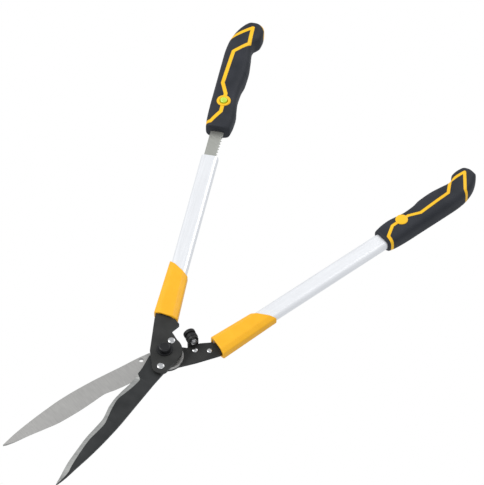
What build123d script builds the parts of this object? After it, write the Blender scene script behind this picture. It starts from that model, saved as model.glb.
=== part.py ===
"""Hedge shears with a pruning saw kept in the left handle, in millimetres.

The shears lie flat: +Z is up, the blades point along -Y and the handles along +Y.
The origin is on the pivot axis, on the flat end of the pivot bolt's head.
"""
from build123d import *
import os
from math import cos, radians, sin

os.makedirs("parts", exist_ok=True)

# Plates and blades
plate = 3.5                     # thickness of both blades and both levers
blade_gap = 0.1                 # between the blades where they slide
clearance = 0.05                # radial, pivot bolt in its holes
fit = 0.3                       # around each sliding piece
blade_reach = 226.0             # pivot to blade tip
drawn_reach = 226.0             # reach that the blade outlines are given for
dark_base_radius = 16.5         # round the pivot, hidden under the left lever
base_centre = (3.5, -1.0)       # of the plain blade's and the right lever's round ends
plain_base_radius = 19.5
hang_hole_radius = 2.9
hang_hole_at = (27.6, -8.1)     # along the plain blade, then across it
plain_blade_angle = -113.1      # directions seen from the pivot, from +X
dark_blade_angle = -91.3
lever_disc_radius = 20.5
right_disc_radius = 18.5
rivet_boss_radius = 6.5

# Pivot
bolt_radius = 4.0
bolt_head_radius = 8.0
bolt_head_height = 5.0
bushing_wall = 1.5
washer_radius = 9.5
washer_thickness = 1.0
cap_radius = 7.0
cap_height = 6.0
cap_wall = 2.0

# Handles
handle_angle = 19.5             # how far each handle leans from +Y
left_offset = 9.5               # handle axis to pivot, outwards
right_offset = 31.2
tang_clearance = 0.5            # between a lever's outer face and the inside of its tube
tube_width = 21.0
tube_depth = 12.5
tube_corner = 4.6
tube_wall = 1.2
tube_start = 56.0               # distances along a handle, from the pivot
tube_end = 303.0
lever_half_width = 12.0
lever_shoulder = 55.0           # where a lever narrows to its tang
tang_width = 15.0
tang_end = 96.0
plug_end = 98.0

# Sleeves where levers and tubes meet
sleeve_width = 29.5
sleeve_depth = 16.8
sleeve_top_width = 25.6
sleeve_top_depth = 15.8
sleeve_corner = 4.6
sleeve_inner_top = 114.0
sleeve_outer_top = 133.0
left_sleeve_foot = (47.0, 52.0)   # inner corner, outer corner
right_sleeve_foot = (55.0, 51.0)
screw_radius = 1.5
screw_head_radius = 2.8
screw_head_height = 1.4
screw_places = (76.0, 90.0)

# Grips
right_grip_start = 306.0
right_grip_length = 153.0
right_grip_bulk = 0.92          # the right grip is slimmer than the saw's
saw_grip_start = 347.0          # as posed, drawn part of the way out of the tube
saw_grip_length = 180.0
core_wall = 1.7                 # of the core, round the tube
core_corner = 5.2
core_end = 0.79                 # share of the grip's length that the core reaches
mouth_wall = 3.0                # rubber between the mouth and the core
right_tube_in_grip = 105.0
# share of the grip's length, palm side, finger side, depth
grip_stations = (
    (0.00, 14.6, 15.4, 22.0),
    (0.03, 15.6, 16.4, 24.0),
    (0.08, 16.4, 17.6, 26.5),
    (0.14, 16.8, 18.0, 28.0),
    (0.22, 17.0, 16.2, 28.5),
    (0.30, 17.0, 14.8, 28.0),
    (0.39, 17.0, 15.6, 28.5),
    (0.47, 17.0, 18.2, 29.5),
    (0.57, 17.0, 18.8, 30.0),
    (0.67, 17.0, 17.4, 29.5),
    (0.76, 16.0, 15.8, 28.5),
    (0.80, 14.9, 17.2, 28.0),
    (0.845, 12.8, 23.8, 28.0),
    (0.90, 9.0, 25.2, 27.5),
    (0.95, 3.6, 24.4, 26.0),
    (0.985, -1.5, 18.5, 21.0),
    (1.00, -4.2, 11.0, 13.0),
)
grip_roundness = 0.4            # corner radius as a share of the section's depth

# Saw
saw_length = 198.0              # blade in front of the grip
saw_base_width = 16.4
saw_tip_width = 10.4
saw_thickness = 1.2
saw_tang_width = 12.0
saw_tang_length = 62.0
tip_slant = 10.0
tooth_pitch = 4.5
tooth_depth = 1.7
tooth_rake = 0.35
guide_length = 12.0
saw_pin_radius = 2.0
saw_pin_places = (24.0, 52.0)   # behind the mouth of the grip

# Release button, on the front of the saw grip
button_share = 0.218
button_face = grip_stations[4][3] / 2    # grip surface above the tube's axis there
button_radius = 4.3
button_travel = 2.0
button_proud = 1.2
collar_radius = 8.6
collar_proud = 0.8
button_seat = 7.0               # pocket floor above the tube axis
collar_floor = 0.8
button_end_gap = 0.5            # left under the button when fully pressed

# Bumper between the levers
bumper_angle = 54.4             # edge of the right lever beside the bumper
bumper_reach = 36.2
bracket = 2.5                   # thickness of the bent bracket, riveted under the right lever
bracket_half_width = 6.5
tab_gap = 0.3                   # between the upright tab and the lever's edge
rubber_radius = 7.2
rubber_neck = 5.4
rubber_length = 10.9
rubber_disc = 4.2
recess_depth = 4.0
recess_radius = 4.2
bumper_screw_radius = 2.0
bumper_head_radius = 3.6
bumper_head_height = 2.2
bumper_nut_width = 7.0
bumper_nut_height = 3.2
closing_angle = 22.0
stop_gap = 0.35

# Rivets
left_rivet_places = ((-0.2, 15.6), (8.8, -22.9))
plain_rivet_places = ((14.5, 5.0), (5.0, -14.5))
bracket_rivet_places = ((26.2, 24.3), (41.2, 32.2))
rivet_radius = 2.5
rivet_head_radius = 4.4
bracket_rivet_radius = 1.8
bracket_rivet_head = 3.3
rivet_head_height = 1.5

# Heights of the stack
right_lever_low = bolt_head_height + washer_thickness
right_lever_high = right_lever_low + plate
plain_high = right_lever_high + plate
shear_height = plain_high + blade_gap / 2
dark_low = shear_height + blade_gap / 2
dark_high = dark_low + plate
left_lever_high = dark_high + plate
cap_low = left_lever_high + washer_thickness
bushing_radius = bolt_radius + clearance + bushing_wall
tube_lift = 2 * plate + blade_gap / 2 + tang_clearance - tube_depth / 2 + tube_wall
core_width = tube_width + 2 * core_wall
core_depth = tube_depth + 2 * core_wall


def save(builder, name):
    """Name a finished piece and write it."""
    builder.part.label = name
    export_step(builder.part, f"parts/{name}.step")


def direction(angle):
    return Vector(cos(radians(angle)), sin(radians(angle)), 0)


class Handle:
    """Directions and places along one handle."""

    def __init__(self, side, offset):
        lean = radians(handle_angle)
        self.side = side
        self.along = Vector(side * sin(lean), cos(lean), 0)
        self.out = Vector(side * cos(lean), -sin(lean), 0)
        self.start = self.out * offset
        self.height = shear_height - side * tube_lift

    def at(self, distance, outward=0.0):
        """Point of the plane, as a pair."""
        point = self.start + self.along * distance + self.out * outward
        return (point.X, point.Y)

    def section(self, distance):
        """Plane across the handle, X outwards."""
        origin = self.start + self.along * distance + Vector(0, 0, self.height)
        return Plane(origin=origin, x_dir=self.out, z_dir=self.along)

    def across(self, distance, outward, height):
        """Plane facing up, at a height above the tube's axis."""
        x, y = self.at(distance, outward)
        return Plane(origin=(x, y, self.height + height), x_dir=self.along, z_dir=(0, 0, 1))

    def under(self, distance, depth):
        """Plane facing down, at a depth below the tube's axis."""
        x, y = self.at(distance)
        return Plane(origin=(x, y, self.height - depth), x_dir=self.along, z_dir=(0, 0, -1))


left = Handle(-1, left_offset)
right = Handle(1, right_offset)


def stretched(points):
    """Outline points moved along the blade to suit its reach."""
    return [(along * blade_reach / drawn_reach, across) for along, across in points]


def make_blade(angle, low, back, edge, hole, rivets, base, hang_holes=()):
    """One blade: outline, pivot disc and holes."""
    plane = Plane(origin=(0, 0, low), x_dir=direction(angle), z_dir=(0, 0, 1))
    with BuildPart() as blade:
        with BuildSketch(plane):
            with BuildLine():
                Spline(*stretched(back), (blade_reach, 0))
                Spline((blade_reach, 0), *stretched(edge))
                Line(stretched(edge)[-1], stretched(back)[0])
            make_face()
        extrude(amount=plate)
        for x, y, radius in base:
            with BuildSketch(Plane.XY.offset(low)):
                with Locations((x, y)):
                    Circle(radius)
            extrude(amount=plate)
        with BuildSketch(Plane.XY.offset(low)):
            Circle(hole)
        extrude(amount=plate, mode=Mode.SUBTRACT)
        with BuildSketch(Plane.XY.offset(low)):
            with Locations(*rivets):
                Circle(rivet_radius)
        extrude(amount=plate, mode=Mode.SUBTRACT)
        for spot in hang_holes:
            with BuildSketch(plane):
                with Locations(spot):
                    Circle(hang_hole_radius)
            extrude(amount=plate, mode=Mode.SUBTRACT)
    return blade


dark_back = ((18.6, 16.2), (47.5, 14.9), (79.0, 14.6), (110.8, 14.4), (140.0, 12.9), (167.7, 10.2), (193.0, 6.4),
             (214.0, 3.2))
dark_edge = ((209.5, -3.6), (188.9, -7.0), (171.4, -8.1), (151.3, -9.0), (133.8, -8.1), (120.6, -7.5),
             (109.9, -9.2), (98.3, -11.7), (88.1, -12.1), (74.7, -11.5), (62.8, -9.8), (40.0, -8.6), (14.0, -12.0))
plain_back = ((14.0, -11.3), (29.3, -12.9), (50.0, -13.8), (70.8, -15.1), (91.4, -16.2), (112.7, -16.5),
              (134.5, -15.8), (157.5, -13.4), (181.0, -10.0), (205.0, -5.6))
plain_edge = ((211.8, 4.4), (192.2, 6.7), (173.0, 9.4), (153.2, 11.5), (131.6, 11.2), (109.3, 9.6), (90.9, 7.9),
              (75.7, 10.4), (60.5, 11.9), (38.0, 12.4), (12.0, 15.0))


def make_left_lever():
    """Front lever, from its lobe over the pivot to a tang inside the left tube."""
    stop_angle = bumper_angle + closing_angle
    radial = direction(stop_angle)
    tangent = direction(stop_angle + 90)
    low_stop = radial * 25.0 + tangent * (tab_gap + bracket + rubber_length + stop_gap)
    high_stop = radial * 39.0 + tangent * (tab_gap + bracket + rubber_length + stop_gap)
    disc_side = direction(-8) * lever_disc_radius
    disc_middle = direction(30) * lever_disc_radius
    disc_top = direction(76) * lever_disc_radius
    with BuildPart() as lever:
        with BuildSketch(Plane.XY.offset(dark_high)):
            with BuildLine():
                Line((0.3, -28.2), (-14.3, -9.5))
                Line((-14.3, -9.5), left.at(44.0, lever_half_width))
                Line(left.at(44.0, lever_half_width), left.at(lever_shoulder, lever_half_width))
                Line(left.at(lever_shoulder, lever_half_width), left.at(lever_shoulder, -lever_half_width))
                Line(left.at(lever_shoulder, -lever_half_width), left.at(46.5, -lever_half_width))
                Line(left.at(46.5, -lever_half_width), (high_stop.X, high_stop.Y))
                Line((high_stop.X, high_stop.Y), (low_stop.X, low_stop.Y))
                Line((low_stop.X, low_stop.Y), (disc_top.X, disc_top.Y))
                ThreePointArc((disc_top.X, disc_top.Y), (disc_middle.X, disc_middle.Y), (disc_side.X, disc_side.Y))
                Line((disc_side.X, disc_side.Y), (18.4, -21.4))
                ThreePointArc((18.4, -21.4), (12.0, -32.5), (0.3, -28.2))
            make_face()
        extrude(amount=plate)
        with BuildSketch(left.across(0, 0, dark_high - left.height)):
            with Locations((50.0 + (tang_end - 50.0) / 2, 0)):
                Rectangle(tang_end - 50.0, tang_width)
        extrude(amount=plate)
        stops = [v for v in lever.edges().filter_by(Axis.Z)
                 if min((v.center() - p).length for p in (high_stop + Vector(0, 0, dark_high + plate / 2),
                                                          low_stop + Vector(0, 0, dark_high + plate / 2))) < 0.1]
        fillet(stops, radius=2.5)
        with BuildSketch(Plane.XY.offset(dark_high)):
            Circle(bushing_radius)
            with Locations(*left_rivet_places):
                Circle(rivet_radius)
            with Locations(*(left.at(place) for place in screw_places)):
                Circle(screw_radius)
        extrude(amount=plate, mode=Mode.SUBTRACT)
    return lever


def make_right_lever():
    """Back lever, from the pivot to a tang inside the right tube."""
    with BuildPart() as lever:
        with BuildSketch(Plane.XY.offset(right_lever_low)):
            with Locations(base_centre):
                Circle(right_disc_radius)
            with BuildLine():
                Polyline((2.0, 17.0), (16.3, 22.7), (25.8, 36.2), right.at(53.0, -lever_half_width),
                         right.at(lever_shoulder, -lever_half_width), right.at(lever_shoulder, 9.0),
                         right.at(50.0, 9.0), (36.1, 10.4),
                         (15.9, -12.0), (4.0, -12.0), close=True)
            make_face()
            with BuildLine():
                Polyline(right.at(50.0, -tang_width / 2), right.at(tang_end, -tang_width / 2),
                         right.at(tang_end, tang_width / 2), right.at(50.0, tang_width / 2), close=True)
            make_face()
            Circle(bolt_radius + clearance, mode=Mode.SUBTRACT)
            with Locations(*plain_rivet_places):
                Circle(rivet_radius, mode=Mode.SUBTRACT)
            with Locations(*bracket_rivet_places):
                Circle(bracket_rivet_radius, mode=Mode.SUBTRACT)
            with Locations(*(right.at(place) for place in screw_places)):
                Circle(screw_radius, mode=Mode.SUBTRACT)
        extrude(amount=plate)
    return lever


def tube_section(shrink=0.0):
    """Rounded oblong of the tube, made smaller all round."""
    return RectangleRounded(tube_width - 2 * shrink, tube_depth - 2 * shrink, tube_corner - shrink)


def make_tube(handle, end):
    with BuildPart() as tube:
        with BuildSketch(handle.section(tube_start)):
            tube_section()
            RectangleRounded(tube_width - 2 * tube_wall, tube_depth - 2 * tube_wall, tube_corner - tube_wall,
                             mode=Mode.SUBTRACT)
        extrude(amount=end - tube_start)
        for place in screw_places:
            with Locations(handle.across(place, 0, 0).location):
                Cylinder(screw_radius, 2 * tube_depth, mode=Mode.SUBTRACT)
    return tube


def lever_layer(handle):
    """Low and high faces of the lever that runs into a handle."""
    if handle is left:
        return dark_high, left_lever_high
    return right_lever_low, right_lever_high


def make_plug(handle, lever):
    """Filler around the tang, inside the tube."""
    with BuildPart() as plug:
        with BuildSketch(handle.section(tube_start + 4.0)):
            RectangleRounded(tube_width - 2 * tube_wall, tube_depth - 2 * tube_wall, tube_corner - tube_wall)
        extrude(amount=plug_end - tube_start - 4.0)
        add(lever.part, mode=Mode.SUBTRACT)
        for place in screw_places:
            with Locations(handle.across(place, 0, 0).location):
                Cylinder(screw_radius, 2 * tube_depth, mode=Mode.SUBTRACT)
    return plug


def make_sleeve(handle, foot):
    """Tapered sleeve with slanted ends, over the joint of lever and tube."""
    first = min(foot)
    low, high = lever_layer(handle)
    turn = -handle.side
    with BuildPart() as sleeve:
        with BuildSketch(handle.section(first)):
            RectangleRounded(sleeve_width, sleeve_depth, sleeve_corner)
        with BuildSketch(handle.section(sleeve_outer_top)):
            RectangleRounded(sleeve_top_width, sleeve_top_depth, sleeve_corner)
        loft()
        with BuildSketch(handle.across(0, 0, -sleeve_depth)):
            with BuildLine():
                Polyline((foot[0], -turn * sleeve_width / 2), (foot[1], turn * sleeve_width / 2),
                         (sleeve_outer_top, turn * sleeve_width / 2), (sleeve_inner_top, -turn * sleeve_width / 2),
                         close=True)
            make_face()
        extrude(amount=2 * sleeve_depth, mode=Mode.INTERSECT)
        with BuildSketch(handle.section(tube_start)):
            tube_section()
        extrude(amount=sleeve_outer_top, mode=Mode.SUBTRACT)
        with BuildSketch(handle.across(0, 0, low - handle.height)):
            with Locations((tube_start / 2 + 6.0, 0)):
                Rectangle(tube_start + 12.0, 2 * lever_half_width)
        extrude(amount=high - low, mode=Mode.SUBTRACT)
        for place in screw_places:
            with Locations(handle.under(place, sleeve_depth / 2).location):
                Cylinder(screw_head_radius, 2 * screw_head_height + 1.2, mode=Mode.SUBTRACT)
            with Locations(handle.under(place, sleeve_depth / 2).location):
                Cylinder(screw_radius, sleeve_depth, mode=Mode.SUBTRACT)
    return sleeve


def make_sleeve_screws(handle):
    """Screws from the back of a sleeve through the tube into the plug."""
    head_seat = sleeve_depth / 2 - screw_head_height - 0.6
    with BuildPart() as screws:
        for place in screw_places:
            with BuildSketch(handle.under(place, -tube_depth / 2 + 2 * tube_wall)):
                Circle(screw_radius)
            extrude(amount=head_seat + tube_depth / 2 - 2 * tube_wall)
            with BuildSketch(handle.under(place, head_seat)):
                Circle(screw_head_radius)
            extrude(amount=screw_head_height - 0.2)
            with BuildSketch(handle.under(place, head_seat + screw_head_height - 1.0)):
                Rectangle(0.8, 1.7 * screw_head_radius)
                Rectangle(1.7 * screw_head_radius, 0.8)
            extrude(amount=2.0, mode=Mode.SUBTRACT)
    return screws


def grip_body(handle, start, length, bulk):
    """Outer shape of a grip, lofted through its stations."""
    with BuildPart(mode=Mode.PRIVATE) as body:
        for share, palm, finger, depth in grip_stations:
            width = bulk * (palm + finger)
            corner = min(grip_roundness * bulk * depth, 0.45 * width)
            with BuildSketch(handle.section(start + share * length)):
                with Locations((bulk * (palm - finger) / 2, 0)):
                    RectangleRounded(width, bulk * depth, corner)
        loft()
    return body.part


def core_block(handle, start, length):
    with BuildPart(mode=Mode.PRIVATE) as block:
        with BuildSketch(handle.section(start + mouth_wall)):
            RectangleRounded(core_width, core_depth, core_corner)
        extrude(amount=core_end * length - mouth_wall)
    return block.part


def make_right_grip():
    block = core_block(right, right_grip_start, right_grip_length)
    with BuildPart() as core:
        add(block)
        with BuildSketch(right.section(right_grip_start)):
            tube_section()
        extrude(amount=right_tube_in_grip, mode=Mode.SUBTRACT)
    with BuildPart() as skin:
        add(grip_body(right, right_grip_start, right_grip_length, right_grip_bulk))
        add(block, mode=Mode.SUBTRACT)
        with BuildSketch(right.section(right_grip_start)):
            tube_section()
        extrude(amount=mouth_wall, mode=Mode.SUBTRACT)
    save(core, "right_grip_core")
    save(skin, "right_grip_skin")


def saw_outline():
    """Saw blade from its tang to the tip, as points along and across the handle."""
    tip = saw_grip_start - saw_length
    back = saw_base_width / 2
    slope = (saw_base_width - saw_tip_width) / saw_length
    points = [(saw_grip_start, back), (tip, back), (tip + tip_slant, back - saw_tip_width + 1.0)]
    place = tip + tip_slant + 1.0
    while place + tooth_pitch < saw_grip_start - 6.0:
        edge = back - saw_tip_width - slope * (place - tip)
        points.append((place, edge + tooth_depth))
        points.append((place + tooth_rake * tooth_pitch, edge))
        place += tooth_pitch
    points.append((place, -back + tooth_depth))
    points.append((place + 1.0, -back))
    points.append((saw_grip_start, -back))
    points.append((saw_grip_start, -saw_tang_width / 2))
    points.append((saw_grip_start + saw_tang_length, -saw_tang_width / 2))
    points.append((saw_grip_start + saw_tang_length, saw_tang_width / 2))
    points.append((saw_grip_start, saw_tang_width / 2))
    return points


def make_saw():
    """Saw blade, its pins, and the grip that it slides with."""
    start = saw_grip_start
    place = start + button_share * saw_grip_length
    block = core_block(left, start, saw_grip_length)
    with BuildPart() as blade:
        with BuildSketch(left.across(0, 0, -saw_thickness / 2)):
            with BuildLine():
                Polyline(*saw_outline(), close=True)
            make_face()
        extrude(amount=saw_thickness)
        for distance in saw_pin_places:
            with Locations(left.across(start + distance, 0, 0).location):
                Cylinder(saw_pin_radius, 2 * saw_thickness, mode=Mode.SUBTRACT)
    save(blade, "saw_blade")
    with BuildPart() as core:
        add(block)
        with BuildSketch(left.section(start)):
            Rectangle(saw_tang_width, saw_thickness)
        extrude(amount=saw_tang_length, mode=Mode.SUBTRACT)
        for distance in saw_pin_places:
            with Locations(left.across(start + distance, 0, 0).location):
                Cylinder(saw_pin_radius, core_depth - 2.0, mode=Mode.SUBTRACT)
        with BuildSketch(left.across(place, 0, button_seat)):
            Circle(collar_radius)
        extrude(amount=core_depth, mode=Mode.SUBTRACT)
    save(core, "saw_grip_core")
    with BuildPart() as pins:
        for distance in saw_pin_places:
            with Locations(left.across(start + distance, 0, 0).location):
                Cylinder(saw_pin_radius, core_depth - 2.0)
    save(pins, "saw_pins")
    with BuildPart() as skin:
        add(grip_body(left, start, saw_grip_length, 1.0))
        add(block, mode=Mode.SUBTRACT)
        with BuildSketch(left.section(start)):
            Rectangle(saw_tang_width, saw_thickness)
        extrude(amount=mouth_wall, mode=Mode.SUBTRACT)
        with BuildSketch(left.across(place, 0, button_seat)):
            Circle(collar_radius)
        extrude(amount=2 * core_depth, mode=Mode.SUBTRACT)
    save(skin, "saw_grip_skin")


def make_button():
    """Release button and the collar that guides it."""
    place = saw_grip_start + button_share * saw_grip_length
    well_floor = button_seat + collar_floor
    button_low = well_floor + button_travel + button_end_gap
    button_top = button_face + collar_proud + button_proud
    with BuildPart() as collar:
        with BuildSketch(left.across(place, 0, button_seat)):
            Circle(collar_radius)
        extrude(amount=button_face + collar_proud - button_seat)
        top = collar.edges().group_by(Axis.Z)[-1]
        fillet(top, radius=0.7)
        with BuildSketch(left.across(place, 0, well_floor)):
            Circle(button_radius + fit)
        extrude(amount=button_face, mode=Mode.SUBTRACT)
    save(collar, "button_collar")
    with BuildPart() as button:
        with BuildSketch(left.across(place, 0, button_low)):
            Circle(button_radius)
        extrude(amount=button_top - button_low)
        fillet(button.edges().group_by(Axis.Z)[-1], radius=1.0)
    save(button, "release_button")


def make_saw_guide():
    """Insert in the mouth of the left tube with a slot for the saw."""
    with BuildPart() as guide:
        with BuildSketch(left.section(tube_end - guide_length)):
            RectangleRounded(tube_width - 2 * tube_wall, tube_depth - 2 * tube_wall, tube_corner - tube_wall)
            Rectangle(saw_base_width + 2 * fit, saw_thickness + 2 * fit, mode=Mode.SUBTRACT)
        extrude(amount=guide_length)
    save(guide, "saw_guide")


def make_pivot():
    """Bolt, washers, cap nut and bushing on the pivot axis."""
    thread_end = cap_low + cap_height - cap_wall
    with BuildPart() as bolt:
        with BuildSketch(Plane.XY):
            RegularPolygon(bolt_head_radius, 6)
        extrude(amount=bolt_head_height)
        with BuildSketch(Plane.XY.offset(bolt_head_height)):
            Circle(bolt_radius)
        extrude(amount=thread_end - bolt_head_height)
        chamfer(bolt.edges().group_by(Axis.Z)[-1], length=0.6)
    save(bolt, "pivot_bolt")
    with BuildPart() as back_washer:
        with BuildSketch(Plane.XY.offset(bolt_head_height)):
            Circle(washer_radius)
            Circle(bolt_radius, mode=Mode.SUBTRACT)
        extrude(amount=washer_thickness)
    save(back_washer, "pivot_back_washer")
    with BuildPart() as front_washer:
        with BuildSketch(Plane.XY.offset(left_lever_high)):
            Circle(washer_radius)
            Circle(bolt_radius, mode=Mode.SUBTRACT)
        extrude(amount=washer_thickness)
    save(front_washer, "pivot_front_washer")
    with BuildPart() as cap:
        with BuildSketch(Plane.XY.offset(cap_low)):
            Circle(cap_radius)
        extrude(amount=cap_height)
        chamfer(cap.edges().group_by(Axis.Z)[-1], length=1.4)
        with BuildSketch(Plane.XY.offset(cap_low)):
            Circle(bolt_radius)
        extrude(amount=cap_height - cap_wall, mode=Mode.SUBTRACT)
    save(cap, "pivot_cap_nut")
    with BuildPart() as bushing:
        with BuildSketch(Plane.XY.offset(dark_low)):
            Circle(bushing_radius)
            Circle(bolt_radius + clearance, mode=Mode.SUBTRACT)
        extrude(amount=2 * plate)
    save(bushing, "pivot_bushing")


def make_rivets(name, places, low, high, radius, head_low=0.0, head_high=0.0):
    """Rivets through two plates, with a domed head above or below."""
    with BuildPart() as rivets:
        for x, y in places:
            with BuildSketch(Plane.XY.offset(low)):
                with Locations((x, y)):
                    Circle(radius)
            extrude(amount=high - low)
            for head, level, way in ((head_high, high, 1), (head_low, low, -1)):
                if head:
                    with BuildSketch(Plane.XY.offset(level)):
                        with Locations((x, y)):
                            Circle(head)
                    extrude(amount=way * rivet_head_height, taper=35)
    save(rivets, name)


def make_bumper():
    """Bent bracket on the right lever, with a rubber buffer held by screw and nut."""
    radial = direction(bumper_angle)
    tangent = direction(bumper_angle + 90)
    height = (dark_high + left_lever_high) / 2
    low = right_lever_low - bracket
    base = Plane(origin=(0, 0, low), x_dir=radial, z_dir=(0, 0, 1))
    centre = radial * bumper_reach + tangent * (tab_gap + bracket) + Vector(0, 0, height)
    wall = Plane(origin=centre, x_dir=radial, z_dir=tangent)
    with BuildPart() as bent:
        with BuildSketch(base):
            with BuildLine():
                Polyline((bumper_reach - bracket_half_width, tab_gap + bracket),
                         (bumper_reach + bracket_half_width, tab_gap + bracket),
                         (bumper_reach + bracket_half_width, 0), (54.0, -9.0), (54.0, -20.0), (46.0, -20.0),
                         (bumper_reach - bracket_half_width, -12.5), close=True)
            make_face()
        extrude(amount=bracket)
        with BuildSketch(wall):
            Circle(bracket_half_width)
            with Locations((0, (height - low) / 2)):
                Rectangle(2 * bracket_half_width, height - low)
        extrude(amount=-bracket)
        with BuildSketch(wall):
            Circle(bumper_screw_radius)
        extrude(amount=-2 * bracket, mode=Mode.SUBTRACT)
        with BuildSketch(Plane.XY.offset(low)):
            with Locations(*bracket_rivet_places):
                Circle(bracket_rivet_radius)
        extrude(amount=bracket, mode=Mode.SUBTRACT)
    save(bent, "bumper_bracket")
    with BuildPart() as rubber:
        with BuildSketch(wall):
            Circle(rubber_radius)
        extrude(amount=rubber_disc)
        with BuildSketch(wall):
            Circle(rubber_neck)
        extrude(amount=rubber_length - 1.0)
        with BuildSketch(wall.offset(rubber_length - rubber_disc)):
            Circle(rubber_radius)
        extrude(amount=rubber_disc)
        fillet(rubber.edges().filter_by(GeomType.CIRCLE).group_by(SortBy.RADIUS)[-1], radius=0.8)
        with BuildSketch(wall):
            Circle(bumper_screw_radius)
        extrude(amount=rubber_length, mode=Mode.SUBTRACT)
        with BuildSketch(wall.offset(rubber_length - recess_depth)):
            Circle(recess_radius)
        extrude(amount=recess_depth, mode=Mode.SUBTRACT)
    save(rubber, "bumper_rubber")
    with BuildPart() as screw:
        with BuildSketch(wall.offset(-bracket - bumper_nut_height - 1.0)):
            Circle(bumper_screw_radius)
        extrude(amount=bracket + bumper_nut_height + 1.0 + rubber_length - recess_depth)
        with BuildSketch(wall.offset(rubber_length - recess_depth)):
            Circle(bumper_head_radius)
        extrude(amount=bumper_head_height)
    save(screw, "bumper_screw")
    with BuildPart() as nut:
        with BuildSketch(wall.offset(-bracket)):
            RegularPolygon(bumper_nut_width / 2, 6, major_radius=False)
            Circle(bumper_screw_radius, mode=Mode.SUBTRACT)
        extrude(amount=-bumper_nut_height)
    save(nut, "bumper_nut")


plain = make_blade(plain_blade_angle, right_lever_high, plain_back, plain_edge, bolt_radius + clearance,
                   plain_rivet_places, ((*base_centre, plain_base_radius),), (hang_hole_at,))
save(plain, "plain_blade")
dark = make_blade(dark_blade_angle, dark_low, dark_back, dark_edge, bushing_radius, left_rivet_places,
                  ((0, 0, dark_base_radius), (*left_rivet_places[0], rivet_boss_radius)))
save(dark, "dark_blade")

left_lever = make_left_lever()
save(left_lever, "left_lever")
right_lever = make_right_lever()
save(right_lever, "right_lever")
save(make_tube(left, tube_end), "left_tube")
save(make_tube(right, right_grip_start + right_tube_in_grip), "right_tube")
save(make_plug(left, left_lever), "left_plug")
save(make_plug(right, right_lever), "right_plug")
save(make_sleeve(left, left_sleeve_foot), "left_sleeve")
save(make_sleeve(right, right_sleeve_foot), "right_sleeve")
save(make_sleeve_screws(left), "left_sleeve_screws")
save(make_sleeve_screws(right), "right_sleeve_screws")
make_right_grip()
make_saw()
make_button()
make_saw_guide()
make_pivot()
make_rivets("left_rivets", left_rivet_places, dark_low, left_lever_high, rivet_radius, head_high=rivet_head_radius)
make_rivets("plain_rivets", plain_rivet_places, right_lever_low, plain_high, rivet_radius,
            head_low=rivet_head_radius)
make_rivets("bracket_rivets", bracket_rivet_places, right_lever_low - bracket, right_lever_high,
            bracket_rivet_radius, head_low=bracket_rivet_head, head_high=bracket_rivet_head)
make_bumper()
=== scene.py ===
import math
import bpy
import bmesh
import numpy as np
from mathutils import Euler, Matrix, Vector


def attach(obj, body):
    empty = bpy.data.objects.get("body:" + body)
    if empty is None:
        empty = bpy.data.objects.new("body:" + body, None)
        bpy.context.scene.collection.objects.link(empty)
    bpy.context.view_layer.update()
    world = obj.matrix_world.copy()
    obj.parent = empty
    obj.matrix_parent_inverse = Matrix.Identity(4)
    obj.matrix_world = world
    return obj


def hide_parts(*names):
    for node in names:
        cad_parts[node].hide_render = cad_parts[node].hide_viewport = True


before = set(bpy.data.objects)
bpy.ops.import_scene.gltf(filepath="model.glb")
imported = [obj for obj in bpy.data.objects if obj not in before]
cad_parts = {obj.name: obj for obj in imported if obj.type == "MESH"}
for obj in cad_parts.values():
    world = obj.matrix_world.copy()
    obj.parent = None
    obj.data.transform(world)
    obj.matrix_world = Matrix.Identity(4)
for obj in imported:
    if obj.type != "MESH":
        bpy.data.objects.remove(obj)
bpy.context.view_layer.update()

mm = 0.001
upward = (0, 0, 1)
sideways = (1, 0, 0)
print("frame loaded")

# Layout shared with the CAD: heights and handle directions, in millimetres.
layout = {
    "shearHeight": 13.05, "plate": 3.5, "gap": 0.05,
    "lean": 19.5, "leftOffset": 9.5, "rightOffset": 31.2, "lift": 2.5,
    "darkAngle": -91.3, "plainAngle": -113.1, "reach": 226.0,
}


# Places along one handle, in millimetres.
class Handle:
    def __init__(self, side, offset):
        lean = math.radians(layout["lean"])
        self.side = side
        self.along = np.array([side * math.sin(lean), math.cos(lean), 0.0])
        self.out = np.array([side * math.cos(lean), -math.sin(lean), 0.0])
        self.start = self.out * offset + np.array([0, 0, layout["shearHeight"] - side * layout["lift"]])

    def at(self, distance, outward=0.0, height=0.0):
        return self.start + self.along * distance + self.out * outward + np.array([0, 0, height])


leftHandle = Handle(-1, layout["leftOffset"])
rightHandle = Handle(1, layout["rightOffset"])


# Function through (x, y) points that keeps each stretch monotone.
def smoothCurve(points):
    x = np.array([p[0] for p in points], float)
    y = np.array([p[1] for p in points], float)
    if x[0] > x[-1]:
        x, y = x[::-1], y[::-1]
    h = np.diff(x)
    d = np.diff(y) / h
    m = np.zeros_like(y)
    for i in range(1, len(x) - 1):
        if d[i - 1] * d[i] > 0:
            w1, w2 = 2 * h[i] + h[i - 1], h[i] + 2 * h[i - 1]
            m[i] = (w1 + w2) / (w1 / d[i - 1] + w2 / d[i])
    m[0], m[-1] = d[0], d[-1]

    def value(t):
        t = np.clip(t, x[0], x[-1])
        i = np.clip(np.searchsorted(x, t) - 1, 0, len(h) - 1)
        s = (t - x[i]) / h[i]
        return ((2 * s ** 3 - 3 * s ** 2 + 1) * y[i] + (s ** 3 - 2 * s ** 2 + s) * h[i] * m[i]
                + (3 * s ** 2 - 2 * s ** 3) * y[i + 1] + (s ** 3 - s ** 2) * h[i] * m[i + 1])
    return value


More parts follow.
